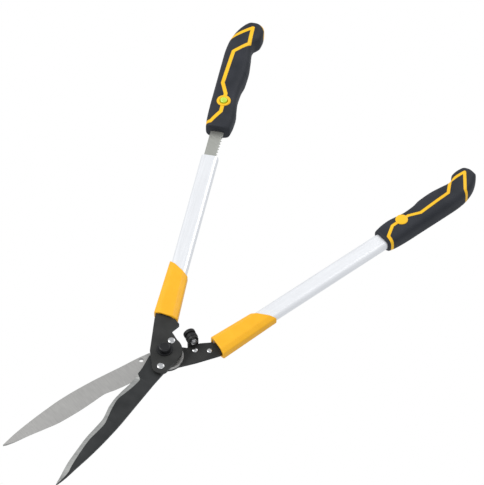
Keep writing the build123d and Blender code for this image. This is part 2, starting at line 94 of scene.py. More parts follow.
# Object from millimetre points, with outward normals.
def meshPiece(name, verts, faces, materials, faceMaterial=None, smooth=35.0):
    mesh = bpy.data.meshes.new(name)
    mesh.from_pydata([tuple(float(c) * mm for c in v) for v in verts], [], faces)
    for material in materials:
        mesh.materials.append(material)
    if faceMaterial is not None:
        mesh.polygons.foreach_set("material_index", faceMaterial)
    work = bmesh.new()
    work.from_mesh(mesh)
    bmesh.ops.recalc_face_normals(work, faces=work.faces)
    work.to_mesh(mesh)
    work.free()
    obj = bpy.data.objects.new(name, mesh)
    bpy.context.scene.collection.objects.link(obj)
    for polygon in mesh.polygons:
        polygon.use_smooth = True
    mesh.set_sharp_from_angle(angle=math.radians(smooth))
    return obj


# Points and faces of a closed revolve; profile holds (radius, height) pairs from axis to axis.
def latheShell(profile, centre, axis, across, steps):
    axis = np.array(axis, float)
    axis /= np.linalg.norm(axis)
    across = np.array(across, float)
    across -= axis * across.dot(axis)
    across /= np.linalg.norm(across)
    third = np.cross(axis, across)
    verts, faces, rings = [], [], []
    for radius, height in profile:
        base = np.array(centre, float) + axis * height
        if radius < 1e-6:
            rings.append([len(verts)])
            verts.append(base)
            continue
        rings.append(list(range(len(verts), len(verts) + steps)))
        for k in range(steps):
            turn = 2 * math.pi * k / steps
            verts.append(base + across * (radius * math.cos(turn)) + third * (radius * math.sin(turn)))
    for lower, upper in zip(rings[:-1], rings[1:]):
        for k in range(steps):
            n = (k + 1) % steps
            if len(lower) == 1 and len(upper) > 1:
                faces.append((lower[0], upper[k], upper[n]))
            elif len(upper) == 1 and len(lower) > 1:
                faces.append((lower[k], lower[n], upper[0]))
            elif len(lower) > 1:
                faces.append((lower[k], lower[n], upper[n], upper[k]))
    return verts, faces


# Several closed shells as the points and faces of one piece.
def joinShells(shells):
    verts, faces = [], []
    for points, polygons in shells:
        base = len(verts)
        verts.extend(points)
        faces.extend(tuple(base + i for i in f) for f in polygons)
    return verts, faces


# Faces that join equal rings of points, with both ends filled.
def tubeOf(rings):
    verts = [p for ring in rings for p in ring]
    count = len(rings[0])
    faces = []
    for r in range(len(rings) - 1):
        for k in range(count):
            n = (k + 1) % count
            faces.append((r * count + k, r * count + n, (r + 1) * count + n, (r + 1) * count + k))
    faces.append(tuple(range(count)))
    faces.append(tuple(range((len(rings) - 1) * count, len(rings) * count)))
    return verts, faces


# Value in a node tree that adds, multiplies and compares like a number.
class Sum:
    def __init__(self, tree, socket):
        self.tree, self.socket = tree, socket

    def make(self, operation, *others):
        node = self.tree.nodes.new("ShaderNodeMath")
        node.operation = operation
        for place, item in enumerate((self, *others)):
            if isinstance(item, Sum):
                self.tree.links.new(item.socket, node.inputs[place])
            else:
                node.inputs[place].default_value = item
        return Sum(self.tree, node.outputs[0])

    def __add__(self, other):
        return self.make("ADD", other)

    def __sub__(self, other):
        return self.make("SUBTRACT", other)

    def __rsub__(self, other):
        return self * -1.0 + other

    def __mul__(self, other):
        return self.make("MULTIPLY", other)

    def __truediv__(self, other):
        return self.make("DIVIDE", other)

    __radd__, __rmul__ = __add__, __mul__

    def least(self, other):
        return self.make("MINIMUM", other)

    def most(self, other):
        return self.make("MAXIMUM", other)

    def size(self):
        return self.make("ABSOLUTE")

    def root(self):
        return self.make("SQRT")


# One procedural material.
class Finish:
    def __init__(self, name, **constants):
        self.material = bpy.data.materials.new(name)
        self.material.use_nodes = True
        self.tree = self.material.node_tree
        self.tree.nodes.clear()
        self.shader = self.node("ShaderNodeBsdfPrincipled", **constants)
        self.node("ShaderNodeOutputMaterial", Surface=self.shader.outputs[0])
        self.coords = self.node("ShaderNodeTexCoord").outputs["Object"]

    # Any node: its settings first, then the values or links of its sockets.
    def node(self, kind, settings=None, **sockets):
        made = self.tree.nodes.new(kind)
        for key, value in (settings or {}).items():
            if key == "stops":
                for stop, (place, colour) in zip(made.color_ramp.elements, value):
                    stop.position = place
                    stop.color = (*colour, 1)
            else:
                setattr(made, key, value)
        for key, value in sockets.items():
            self.give(made.inputs[key.replace("_", " ")], value)
        return made

    def give(self, target, value):
        source = value.socket if isinstance(value, Sum) else value
        if isinstance(source, bpy.types.NodeSocket):
            self.tree.links.new(source, target)
        else:
            target.default_value = source

    # Object coordinates turned about Z, then stretched.
    def placed(self, turn, scale):
        turned = self.node("ShaderNodeMapping", {"vector_type": "POINT"}, Vector=self.coords,
                           Rotation=(0, 0, math.radians(turn)))
        return self.node("ShaderNodeMapping", Vector=turned.outputs[0], Scale=scale).outputs[0]

    def noise(self, vector, scale, detail=3.0, roughness=0.5):
        made = self.node("ShaderNodeTexNoise", Vector=vector, Scale=scale, Detail=detail, Roughness=roughness)
        return Sum(self.tree, made.outputs["Fac"])

    def colours(self, value, low, high, start=0.3, end=0.7):
        stops = ((start, low), (end, high))
        return self.node("ShaderNodeValToRGB", {"stops": stops}, Fac=value).outputs["Color"]

    # 1 under edge, 0 over it, with a soft step between.
    def below(self, value, edge, soft):
        made = self.node("ShaderNodeMapRange", {"interpolation_type": "SMOOTHSTEP"}, Value=value,
                         From_Min=edge - soft, From_Max=edge + soft, To_Min=1.0, To_Max=0.0)
        return Sum(self.tree, made.outputs[0])

    # Colour that is first where the mask is 0 and second where it is 1.
    def blend(self, mask, first, second):
        mix = self.node("ShaderNodeMix", {"data_type": "RGBA"}, Factor=mask)
        self.give(mix.inputs[6], first)  # the colour sockets A and B
        self.give(mix.inputs[7], second)
        return mix.outputs[2]

    def bump(self, height, strength, distance):
        made = self.node("ShaderNodeBump", Strength=strength, Distance=distance, Height=height)
        self.give(self.shader.inputs["Normal"], made.outputs[0])

    def use(self, colour, roughness):
        self.give(self.shader.inputs["Base Color"], colour)
        self.give(self.shader.inputs["Roughness"], roughness)
        return self.material


paintLook = {"specular": 0.32, "cloudScale": 60.0, "grainDetail": 2.0, "depth": 0.0002, "roughSpread": 0.12}
metalLook = {"lineDetail": 4.0, "lineRoughness": 0.6, "cloudScale": 35.0, "lineShare": 0.7, "depth": 0.0001,
             "roughSpread": 0.18}


# Slightly uneven paint or moulded plastic.
def paint(name, low, high, roughness, grain, bump=0.15):
    look = paintLook
    made = Finish(name, Specular_IOR_Level=look["specular"])
    cloud = made.noise(made.coords, look["cloudScale"])
    fine = made.noise(made.coords, grain, look["grainDetail"])
    made.bump(fine, bump, look["depth"])
    base = roughness - look["roughSpread"] / 2
    return made.use(made.colours(cloud, low, high), fine * look["roughSpread"] + base)


# Metal with fine lines along one direction.
def metal(name, low, high, roughness, turn=0.0, stretch=(1, 1, 1), scale=900.0, metallic=1.0, bump=0.06):
    look = metalLook
    made = Finish(name, Metallic=metallic)
    lines = made.noise(made.placed(turn, stretch), scale, look["lineDetail"], look["lineRoughness"])
    cloud = made.noise(made.coords, look["cloudScale"])
    made.bump(lines, bump, look["depth"])
    mixed = lines * look["lineShare"] + cloud * (1 - look["lineShare"])
    base = roughness - look["roughSpread"] / 2
    return made.use(made.colours(mixed, low, high), lines * look["roughSpread"] + base)


finishes = {
    "lever": {"low": (0.014, 0.014, 0.013), "high": (0.026, 0.026, 0.024), "roughness": 0.46,
              "grain": 1800.0},
    "dark": {"low": (0.012, 0.013, 0.013), "high": (0.022, 0.023, 0.023), "roughness": 0.42,
             "grain": 1500.0},
    "sleeve": {"low": (0.83, 0.40, 0.010), "high": (0.88, 0.44, 0.016), "roughness": 0.40,
               "grain": 1200.0},
    "yellow": {"low": (0.86, 0.47, 0.010), "high": (0.92, 0.52, 0.016), "roughness": 0.42,
               "grain": 1500.0},
    "blackSteel": {"low": (0.008, 0.008, 0.009), "high": (0.015, 0.015, 0.016), "roughness": 0.34,
                   "grain": 1600.0},
    "buffer": {"low": (0.004, 0.004, 0.004), "high": (0.009, 0.009, 0.009), "roughness": 0.55,
               "grain": 2200.0},
    "filler": {"low": (0.028, 0.028, 0.03), "high": (0.04, 0.04, 0.042), "roughness": 0.6,
               "grain": 1600.0},
}
leverPaint = paint("leverPaint", **finishes["lever"])
darkPaint = paint("darkPaint", **finishes["dark"])
sleeveYellow = paint("sleeveYellow", **finishes["sleeve"])
gripYellow = paint("gripYellow", **finishes["yellow"])
blackSteel = paint("blackSteel", **finishes["blackSteel"])
bufferRubber = paint("bufferRubber", **finishes["buffer"], bump=0.3)
fillerPlastic = paint("fillerPlastic", **finishes["filler"])
tubeLook = {"low": (0.86, 0.86, 0.87), "high": (0.94, 0.94, 0.95), "roughness": 0.36,
            "stretch": (12, 0.4, 12), "scale": 60.0, "metallic": 0.6, "bump": 0.02}
leftTube = metal("leftTube", turn=-layout["lean"], **tubeLook)
rightTube = metal("rightTube", turn=layout["lean"], **tubeLook)
metals = {
    "plainSteel": {"low": (0.36, 0.35, 0.335), "high": (0.45, 0.44, 0.42), "roughness": 0.48, "turn": 23.1,
                   "stretch": (1, 14, 1), "scale": 70.0, "metallic": 0.85},
    "bevelSteel": {"low": (0.27, 0.27, 0.26), "high": (0.42, 0.42, 0.40), "roughness": 0.44, "turn": 1.3,
                   "stretch": (1, 14, 1), "scale": 60.0, "metallic": 0.85},
    "sawSteel": {"low": (0.42, 0.42, 0.38), "high": (0.52, 0.52, 0.47), "roughness": 0.44, "turn": 19.5,
                 "stretch": (1, 14, 1), "scale": 70.0, "metallic": 0.85},
    "zincSteel": {"low": (0.45, 0.45, 0.45), "high": (0.66, 0.66, 0.65), "roughness": 0.30},
    "bronze": {"low": (0.42, 0.30, 0.12), "high": (0.54, 0.40, 0.17), "roughness": 0.40},
}
plainSteel, bevelSteel, sawSteel, zincSteel, bronze = (metal(name, **look) for name, look in metals.items())
greenLook = {"low": (0.42, 0.62, 0.03), "high": (0.58, 0.74, 0.06), "coat": 0.5, "scale": 160.0,
             "roughSpread": 0.1, "roughLow": 0.18}
green = Finish("buttonGreen", Coat_Weight=greenLook["coat"])
greenCloud = green.noise(green.coords, greenLook["scale"])
buttonGreen = green.use(green.colours(greenCloud, greenLook["low"], greenLook["high"]),
                        greenCloud * greenLook["roughSpread"] + greenLook["roughLow"])
print("materials made")

gripFacts = {
    "right": {"handle": rightHandle, "start": 306.0, "length": 153.0, "bulk": 0.92, "shift": -0.02,
              "mouth": (10.55, 6.3), "body": "right_arm", "node": "right_grip_skin"},
    "saw": {"handle": leftHandle, "start": 347.0, "length": 180.0, "bulk": 1.0, "shift": 0.0,
            "mouth": (8.25, 0.7), "body": "saw", "node": "saw_grip_skin"},
}
# Share of the length, palm side, finger side, depth.
gripStations = (
    (0.00, 14.6, 15.4, 22.0), (0.03, 15.6, 16.4, 24.0), (0.08, 16.4, 17.6, 26.5), (0.14, 16.8, 18.0, 28.0),
    (0.22, 17.0, 16.2, 28.5), (0.30, 17.0, 14.8, 28.0), (0.39, 17.0, 15.6, 28.5), (0.47, 17.0, 18.2, 29.5),
    (0.57, 17.0, 18.8, 30.0), (0.67, 17.0, 17.4, 29.5), (0.76, 16.0, 15.8, 28.5), (0.80, 14.9, 17.2, 28.0),
    (0.845, 12.8, 23.8, 28.0), (0.90, 9.0, 25.2, 27.5), (0.95, 3.6, 24.4, 26.0), (0.985, -1.5, 18.5, 21.0),
    (1.00, -4.2, 11.0, 13.0),
)
# Centre line of the yellow stripe: share of the length along, and towards the palm.
stripePath = (
    (0.028, 0.130), (0.036, 0.054), (0.123, 0.000), (0.285, 0.000), (0.381, 0.040), (0.678, 0.026),
    (0.777, -0.064), (0.925, -0.060), (0.812, 0.075), (0.795, 0.130),
)
buttPath = ((0.880, -0.152), (0.940, -0.146), (0.975, -0.112))
gripLook = {
    "rings": 330, "points": 96, "roundness": 3.3, "inset": 0.3, "button": 0.218,
    "lipShares": (0.0, 0.002, 0.006), "lipEnd": 0.012, "lipDepth": 1.3,  # rounded mouth
    "bodyFrom": 0.02, "endShare": 0.06, "endRings": 26, "endCurve": 1.8,  # rings crowd towards the butt
    "groove": 0.22, "pitch": 3.1, "grooveSide": -0.15, "grooveAreas": ((0.14, 0.05), (0.53, 0.09)),
    "fold": 0.52, "foldLean": 0.02, "foldHalf": 0.8, "foldDepth": 0.55, "foldSide": 0.05,
    "mouthWall": 3.0, "coreHalf": (12.25, 8.0), "coreEnd": 0.788, "coreSquare": 0.45,
}
stripeLook = {
    "half": 0.0128, "buttHalf": 0.012, "soft": 0.0008, "rimHalf": 0.0022, "rimSoft": 0.0016,
    "rubber": ((0.013, 0.015, 0.020), (0.024, 0.026, 0.033)),
    "yellow": ((0.86, 0.47, 0.010), (0.93, 0.53, 0.016)),
    "specular": 0.3, "grainScale": 1400.0, "grainDetail": 2.0, "cloudScale": 45.0,
    "grainHeight": 0.12, "stripeHeight": 0.5, "rimHeight": 0.9, "bump": 0.6, "depth": 0.0006,
    "rubberRough": 0.52, "stripeSmoother": 0.16, "roughSpread": 0.14,
}
palmSide, fingerSide, gripDepth = (smoothCurve([(s[0], s[k]) for s in gripStations]) for k in (1, 2, 3))


# Dark rubber with the yellow core showing as an angular stripe on both faces.
def gripMaterial(name, facts):
    look = stripeLook
    made = Finish(name, Specular_IOR_Level=look["specular"])
    handle, length = facts["handle"], facts["length"] * mm
    split = made.node("ShaderNodeSeparateXYZ", Vector=made.coords)
    x, y = (Sum(made.tree, split.outputs[k]) for k in (0, 1))
    origin = handle.at(facts["start"]) * mm
    px, py = x - float(origin[0]), y - float(origin[1])
    u = (px * float(handle.along[0]) + py * float(handle.along[1])) / length
    v = (px * float(handle.out[0]) + py * float(handle.out[1])) / length - facts["shift"]

    # Distance from a path of straight stretches, as a share of the length.
    def toPath(path, spare):
        nearest = None
        for (au, av), (bu, bv) in zip(path[:-1], path[1:]):
            du, dv = bu - au, bv - av
            square = du * du + dv * dv
            t = ((u - au) * (du / square) + (v - av) * (dv / square)).most(0.0).least(1.0)
            ex, ey = u - au - t * du, v - av - t * dv
            distance = (ex * ex + ey * ey).root() + spare
            nearest = distance if nearest is None else nearest.least(distance)
        return nearest

    nearest = toPath(stripePath, 0.0).least(toPath(buttPath, look["half"] - look["buttHalf"]))
    mask = made.below(nearest, look["half"], look["soft"])
    rim = made.below((nearest - look["half"]).size(), look["rimHalf"], look["rimSoft"])
    grain = made.noise(made.coords, look["grainScale"], look["grainDetail"])
    cloud = made.noise(made.coords, look["cloudScale"])
    rubber = made.colours(cloud, *look["rubber"])
    yellow = made.colours(cloud, *look["yellow"])
    height = grain * look["grainHeight"] + mask * look["stripeHeight"] - rim * look["rimHeight"]
    made.bump(height, look["bump"], look["depth"])
    base = look["rubberRough"] - look["stripeSmoother"] * mask
    return made.use(made.blend(mask, rubber, yellow), look["roughSpread"] * grain + base)


# Joins a second piece to the first, or cuts it away, and removes it.
def combine(obj, tool, operation, crease=28):
    change = obj.modifiers.new("combine", "BOOLEAN")
    change.operation = operation
    change.solver = "EXACT"
    change.object = tool
    settle(obj)
    bpy.data.objects.remove(tool)
    obj.data.set_sharp_from_angle(angle=math.radians(crease))
    return obj


# Turns a piece's modifiers into plain mesh.
def settle(obj):
    made = bpy.data.meshes.new_from_object(obj.evaluated_get(bpy.context.evaluated_depsgraph_get()))
    obj.modifiers.clear()
    old = obj.data
    obj.data = made
    bpy.data.meshes.remove(old)
    return obj


# Closed ring of points across a handle; a low power makes it squarer.
def oblongRing(handle, distance, halfWide, halfThick, power, points):
    ring = []
    for k in range(points):
        turn = 2 * math.pi * k / points
        c, s = math.cos(turn), math.sin(turn)
        ring.append(handle.at(distance, math.copysign(abs(c) ** power, c) * halfWide,
                              math.copysign(abs(s) ** power, s) * halfThick))
    return ring


# Straight cutter of a tube's outline along a handle.
def boreTool(handle, low, high, halfWide, halfThick, square, points):
    rings = [oblongRing(handle, distance, halfWide, halfThick, square, points) for distance in (low, high)]
    return meshPiece("boreTool", *tubeOf(rings), [gripYellow])


# One outer ring of a grip, with the moulded grooves and the fold on the finger side.
def gripRing(facts, share):
    look, handle, length = gripLook, facts["handle"], facts["length"]
    power = 2.0 / look["roundness"]
    lip = math.sqrt(max(0.0, 1 - (1 - min(share / look["lipEnd"], 1)) ** 2))
    palm, finger, depth = (float(f(share)) * facts["bulk"] for f in (palmSide, fingerSide, gripDepth))
    shrink = look["inset"] + look["lipDepth"] * (1 - lip)
    half, middle = (palm + finger) / 2 - shrink, (palm - finger) / 2
    thick = depth / 2 - shrink
    ring = []
    for k in range(look["points"]):
        turn = 2 * math.pi * k / look["points"]
        c, s = math.cos(turn), math.sin(turn)
        x = math.copysign(abs(c) ** power, c)
        z = math.copysign(abs(s) ** power, s)
        groove = 0.0
        for centre, reach in look["grooveAreas"]:
            away = abs(share - centre) / reach
            if away < 1 and c < look["grooveSide"]:
                wave = 0.5 - 0.5 * math.cos(2 * math.pi * (share - centre) * length / look["pitch"])
                groove += look["groove"] * wave * (1 - away ** 4) * min(1.0, (look["grooveSide"] - c) * 3)
        fold = abs(share - look["fold"] - look["foldLean"] * c) * length / look["foldHalf"]
        if fold < 1 and c < look["foldSide"]:
            groove += look["foldDepth"] * (1 - fold ** 2) * min(1.0, (look["foldSide"] - c) * 4)
        scale = 1 - groove / half
        ring.append(handle.at(facts["start"] + share * length, middle + x * half * scale, z * thick))
    return ring


# Shaped grip with finger swells and a hollow for the core.
def gripPiece(name, facts):
    look, handle, start, length = gripLook, facts["handle"], facts["start"], facts["length"]
    body = np.linspace(look["bodyFrom"], 1 - look["endShare"], look["rings"])
    butt = 1 - look["endShare"] * np.linspace(1, 0, look["endRings"])[1:] ** look["endCurve"]
    shares = np.concatenate([[*look["lipShares"], look["lipEnd"]], body, butt])
    rings = [gripRing(facts, share) for share in shares]
    wall, core = look["mouthWall"], look["coreHalf"]
    hollow = ((0.0, facts["mouth"]), (wall, facts["mouth"]), (wall, core), (look["coreEnd"] * length, core))
    for distance, halves in hollow:
        rings.insert(0, oblongRing(handle, start + distance, *halves, look["coreSquare"], look["points"]))
    verts, faces = tubeOf(rings)
    obj = meshPiece(name, verts, faces, [gripMaterial(name + "Rubber", facts)], smooth=50.0)
    if facts["body"] == "saw":
        place = handle.at(start + look["button"] * length)
        pocket = latheShell(pocketProfile, place, upward, handle.along, lathed)
        combine(obj, meshPiece("pocketTool", *pocket, [gripYellow]), "DIFFERENCE", 50)
    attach(obj, facts["body"])
    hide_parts(facts["node"])
    return obj


# Profiles are (radius, height) pairs, with heights above the handle's axis.
lathed = 96
pocketProfile = ((0, 7.0), (8.45, 7.0), (8.45, 20.0), (0, 20.0))
gripPiece("rightGripSkin", gripFacts["right"])
gripPiece("sawGripSkin", gripFacts["saw"])
print("grips made")

buttonPlace = gripFacts["saw"]["start"] + gripLook["button"] * gripFacts["saw"]["length"]
bossPlace = gripFacts["right"]["start"] + gripLook["button"] * gripFacts["right"]["length"]
collarProfile = ((0, 7.0), (8.6, 7.0), (8.6, 13.8), (8.45, 14.5), (8.0, 14.95), (7.2, 15.0), (6.2, 14.95),
                 (5.4, 14.6), (4.9, 13.9), (4.65, 13.1), (4.65, 7.8), (0, 7.8))
buttonSpot = leftHandle.at(buttonPlace)
collarShell = latheShell(collarProfile, buttonSpot, upward, leftHandle.along, lathed)
collar = meshPiece("buttonCollar", *collarShell, [gripYellow])
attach(collar, "saw")
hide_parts("button_collar")
buttonProfile = ((0, 10.6), (4.3, 10.6), (4.3, 15.2), (4.2, 15.7), (3.9, 16.0), (3.4, 16.2), (2.6, 16.2),
                 (2.3, 16.0), (2.0, 15.95), (1.0, 15.85), (0, 15.8))
buttonShell = latheShell(buttonProfile, buttonSpot, upward, leftHandle.along, lathed)
button = meshPiece("releaseButton", *buttonShell, [buttonGreen])
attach(button, "button")
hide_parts("release_button")
bossProfile = ((0, 10.0), (7.6, 10.0), (7.6, 12.9), (7.4, 13.4), (6.8, 13.75), (5.8, 13.9), (3.0, 13.95),
               (0, 14.0))
bossSpot = rightHandle.at(bossPlace, gripFacts["right"]["shift"] * gripFacts["right"]["length"])
bossShell = latheShell(bossProfile, bossSpot, upward, rightHandle.along, lathed)
boss = meshPiece("rightBoss", *bossShell, [gripYellow])
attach(boss, "right_arm")
print("button, collar and boss made")

bladeFacts = {
    "dark": {
        "angle": layout["darkAngle"], "low": layout["shearHeight"] + layout["gap"], "hole": 5.55, "up": True,
        "back": ((14.0, 16.4), (18.6, 16.2), (47.5, 14.9), (79.0, 14.6), (110.8, 14.4), (140.0, 12.9),
                 (167.7, 10.2), (193.0, 6.4), (214.0, 3.2), (226.0, 0.0)),
        "edge": ((14.0, -12.0), (40.0, -8.6), (62.8, -9.8), (74.7, -11.5), (88.1, -12.1), (98.3, -11.7),
                 (109.9, -9.2), (120.6, -7.5), (133.8, -8.1), (151.3, -9.0), (171.4, -8.1), (188.9, -7.0),
                 (209.5, -3.6), (226.0, 0.0)),
        "ground": ((14.0, -11.9), (43.0, -8.7), (50.7, -1.6), (62.4, -2.7), (74.5, -5.2), (88.0, -7.7),
                   (100.0, -6.2), (115.0, -2.8), (126.5, -0.6), (139.0, -1.6), (154.0, -2.9), (175.0, -1.6),
                   (194.0, 0.6), (206.0, 2.6), (214.0, 2.4), (226.0, 0.0)),
        "base": ((0.0, 0.0, 16.5), (-0.2, 15.6, 6.5)),  # discs: x, y, radius
        "body": "left_arm", "node": "dark_blade", "slot": "dark_paint",
    },
    "plain": {
        "angle": layout["plainAngle"], "low": layout["shearHeight"] - layout["gap"] - layout["plate"],
        "hole": 4.05, "up": False,
        "back": ((14.0, -11.3), (29.3, -12.9), (50.0, -13.8), (70.8, -15.1), (91.4, -16.2), (112.7, -16.5),
                 (134.5, -15.8), (157.5, -13.4), (181.0, -10.0), (205.0, -5.6), (226.0, 0.0)),
        "edge": ((14.0, 15.0), (38.0, 12.4), (60.5, 11.9), (75.7, 10.4), (90.9, 7.9), (109.3, 9.6),
                 (131.6, 11.2), (153.2, 11.5), (173.0, 9.4), (192.2, 6.7), (211.8, 4.4), (226.0, 0.0)),
        "ground": ((14.0, 14.9), (43.0, 12.2), (52.0, 5.5), (75.7, 3.8), (90.9, 1.6), (109.3, 3.0),
                   (131.6, 4.4), (153.2, 4.6), (173.0, 3.0), (192.2, 1.0), (211.8, 0.0), (226.0, 0.0)),
        "base": ((3.5, -1.0, 19.5),), "body": "right_arm", "node": "plain_blade", "slot": "blade_steel",
    },
}
bladeLook = {
    "stations": 260, "from": 14.0, "to": 225.6, "crowd": 0.92, "edgeThick": 0.5, "round": 0.35,
    "tipRun": 10.0, "tipThinner": 1.2,  # the last stretch loses thickness
    "bevelRun": 5.5, "bevelLeast": 0.06, "bevelMost": 0.86, "chamfer": 0.3,
}
hangHole = {"at": (-18.279, -22.209, 0), "radius": 2.9, "low": 5.0, "high": 16.0}


# Blade with a flat sliding side, a rounded spine and a wide ground bevel along the wavy edge.
def bladePiece(name, facts, face, ground):
    back, edge, line = (smoothCurve(facts[k]) for k in ("back", "edge", "ground"))
    angle = math.radians(facts["angle"])
    along = np.array([math.cos(angle), math.sin(angle), 0])
    side = np.array([-math.sin(angle), math.cos(angle), 0])
    flat, outer = (0.0, layout["plate"]) if facts["up"] else (layout["plate"], 0.0)
    way = 1 if facts["up"] else -1
    rings = []
    look = bladeLook
    shares = np.linspace(0, 1, look["stations"]) ** look["crowd"]
    stations = look["from"] + (look["to"] - look["from"]) * shares
    for u in stations:
        b, e, g = float(back(u)), float(edge(u)), float(line(u))
        turn = 1 if b > e else -1
        g = e + turn * min(max(turn * (g - e), look["bevelLeast"]), abs(b - e) * look["bevelMost"])
        near = min(1.0, (layout["reach"] - u) / look["tipRun"])
        r = look["round"] * near
        top = outer - way * (1 - near) * look["tipThinner"]
        share = min(1.0, abs(g - e) / look["bevelRun"])
        low = flat + way * (abs(outer - flat) * (1 - share) + look["edgeThick"] * share)
        low = low if abs(low - flat) < abs(top - flat) else top
        shape = ((b, flat + way * r * 0.5), (b, top - way * r), (b - turn * r, top), (g, top), (e, low),
                 (e, flat), (b - turn * r * 0.5, flat))
        rings.append([along * u + side * v + np.array([0, 0, facts["low"] + z]) for v, z in shape])
    blade = tubeOf(rings)
    thick, soft = layout["plate"], look["chamfer"]
    count = len(rings[0])
    # The fourth face of each ring is the ground bevel.
    walls = (len(rings) - 1) * count
    tint = [1 if index < walls and index % count == 3 else 0 for index in range(len(blade[1]))]
    obj = meshPiece(name, *blade, [face, ground], tint, smooth=28.0)
    for x, y, disc in facts["base"]:
        profile = ((0, 0), (disc - soft, 0), (disc, soft), (disc, thick - soft), (disc - soft, thick),
                   (0, thick))
        base = latheShell(profile, (x, y, facts["low"]), upward, sideways, 128)
        combine(obj, meshPiece("base", *base, [face], smooth=28.0), "UNION")
    profile = ((0, -1), (facts["hole"], -1), (facts["hole"], thick + 1), (0, thick + 1))
    bore = latheShell(profile, (0, 0, facts["low"]), upward, sideways, 64)
    return combine(obj, meshPiece("bore", *bore, [face]), "DIFFERENCE")


darkBlade = bladePiece("darkBlade", bladeFacts["dark"], darkPaint, bevelSteel)
plainBlade = bladePiece("plainBlade", bladeFacts["plain"], plainSteel, bevelSteel)
holeProfile = ((0, hangHole["low"]), (hangHole["radius"], hangHole["low"]),
               (hangHole["radius"], hangHole["high"]), (0, hangHole["high"]))
hole = latheShell(holeProfile, hangHole["at"], upward, sideways, 48)
combine(plainBlade, meshPiece("hole", *hole, [plainSteel]), "DIFFERENCE")
for obj, key in ((darkBlade, "dark"), (plainBlade, "plain")):
    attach(obj, bladeFacts[key]["body"])
    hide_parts(bladeFacts[key]["node"])
print("blades made")

sawFacts = {
    "start": 347.0, "length": 198.0, "base": 16.4, "tip": 10.4, "thick": 1.2, "slant": 10.0, "tang": 62.0,
    "tangHalf": 6.0, "edge": 0.15,
    "pitch": 4.5, "depth": 2.6, "gum": 0.5, "toothShare": 0.94, "rootThin": 0.9, "pointThin": 0.28,
    "pointLean": 0.06,
    "smallest": 0.985, "seed": 11,  # teeth vary a little in size
}


# Geometry Nodes: copies of one object along a line, leaning with it, as real mesh.
def repeatGroup():
    group = bpy.data.node_groups.new("repeatAlongLine", "GeometryNodeTree")
    face = group.interface
    wanted = (("Piece", "NodeSocketObject"), ("Count", "NodeSocketInt"), ("From", "NodeSocketVector"),
              ("To", "NodeSocketVector"), ("Turn", "NodeSocketFloat"), ("Size", "NodeSocketFloat"),
              ("Finish", "NodeSocketMaterial"))
    face.new_socket("Geometry", in_out="INPUT", socket_type="NodeSocketGeometry")
    for label, kind in wanted:
        face.new_socket(label, in_out="INPUT", socket_type=kind)
    face.new_socket("Geometry", in_out="OUTPUT", socket_type="NodeSocketGeometry")
    nodes, links = group.nodes, group.links
    given, result = nodes.new("NodeGroupInput"), nodes.new("NodeGroupOutput")
    line = nodes.new("GeometryNodeMeshLine")
    line.mode = "END_POINTS"
    info = nodes.new("GeometryNodeObjectInfo")
    place = nodes.new("GeometryNodeInstanceOnPoints")
    turn = nodes.new("ShaderNodeCombineXYZ")
    chance = nodes.new("FunctionNodeRandomValue")
    chance.inputs["Min"].default_value = sawFacts["smallest"]
    chance.inputs["Max"].default_value = 1.0
    chance.inputs["Seed"].default_value = sawFacts["seed"]
    size = nodes.new("ShaderNodeMath")
    size.operation = "MULTIPLY"
    real = nodes.new("GeometryNodeRealizeInstances")
    finish = nodes.new("GeometryNodeSetMaterial")
    join = nodes.new("GeometryNodeJoinGeometry")
    links.new(given.outputs["Count"], line.inputs["Count"])
    links.new(given.outputs["From"], line.inputs["Start Location"])
    links.new(given.outputs["To"], line.inputs["Offset"])
    links.new(given.outputs["Piece"], info.inputs["Object"])
    links.new(line.outputs[0], place.inputs["Points"])
    links.new(info.outputs["Geometry"], place.inputs["Instance"])
    links.new(given.outputs["Turn"], turn.inputs["Z"])
    links.new(turn.outputs[0], place.inputs["Rotation"])
    links.new(chance.outputs[1], size.inputs[0])
    links.new(given.outputs["Size"], size.inputs[1])
    links.new(size.outputs[0], place.inputs["Scale"])
    links.new(place.outputs[0], real.inputs[0])
    links.new(real.outputs[0], finish.inputs["Geometry"])
    links.new(given.outputs["Finish"], finish.inputs["Material"])
    links.new(given.outputs["Geometry"], join.inputs[0])
    links.new(finish.outputs[0], join.inputs[0])
    links.new(join.outputs[0], result.inputs[0])
    return group


repeater = repeatGroup()


# Adds copies of piece to obj between two points, in millimetres, and removes the pattern.
def repeatOn(obj, piece, count, start, end, turn, finish):
    change = obj.modifiers.new("repeat", "NODES")
    change.node_group = repeater
    values = {"Piece": piece, "Count": count, "From": tuple(float(c) * mm for c in start),
              "To": tuple(float(c) * mm for c in end), "Turn": turn, "Size": 1.0, "Finish": finish}
    for item in repeater.interface.items_tree:
        if item.in_out == "INPUT" and item.name in values:
            change[item.identifier] = values[item.name]
    obj.update_tag()
    settle(obj)
    bpy.data.objects.remove(piece)
    return obj


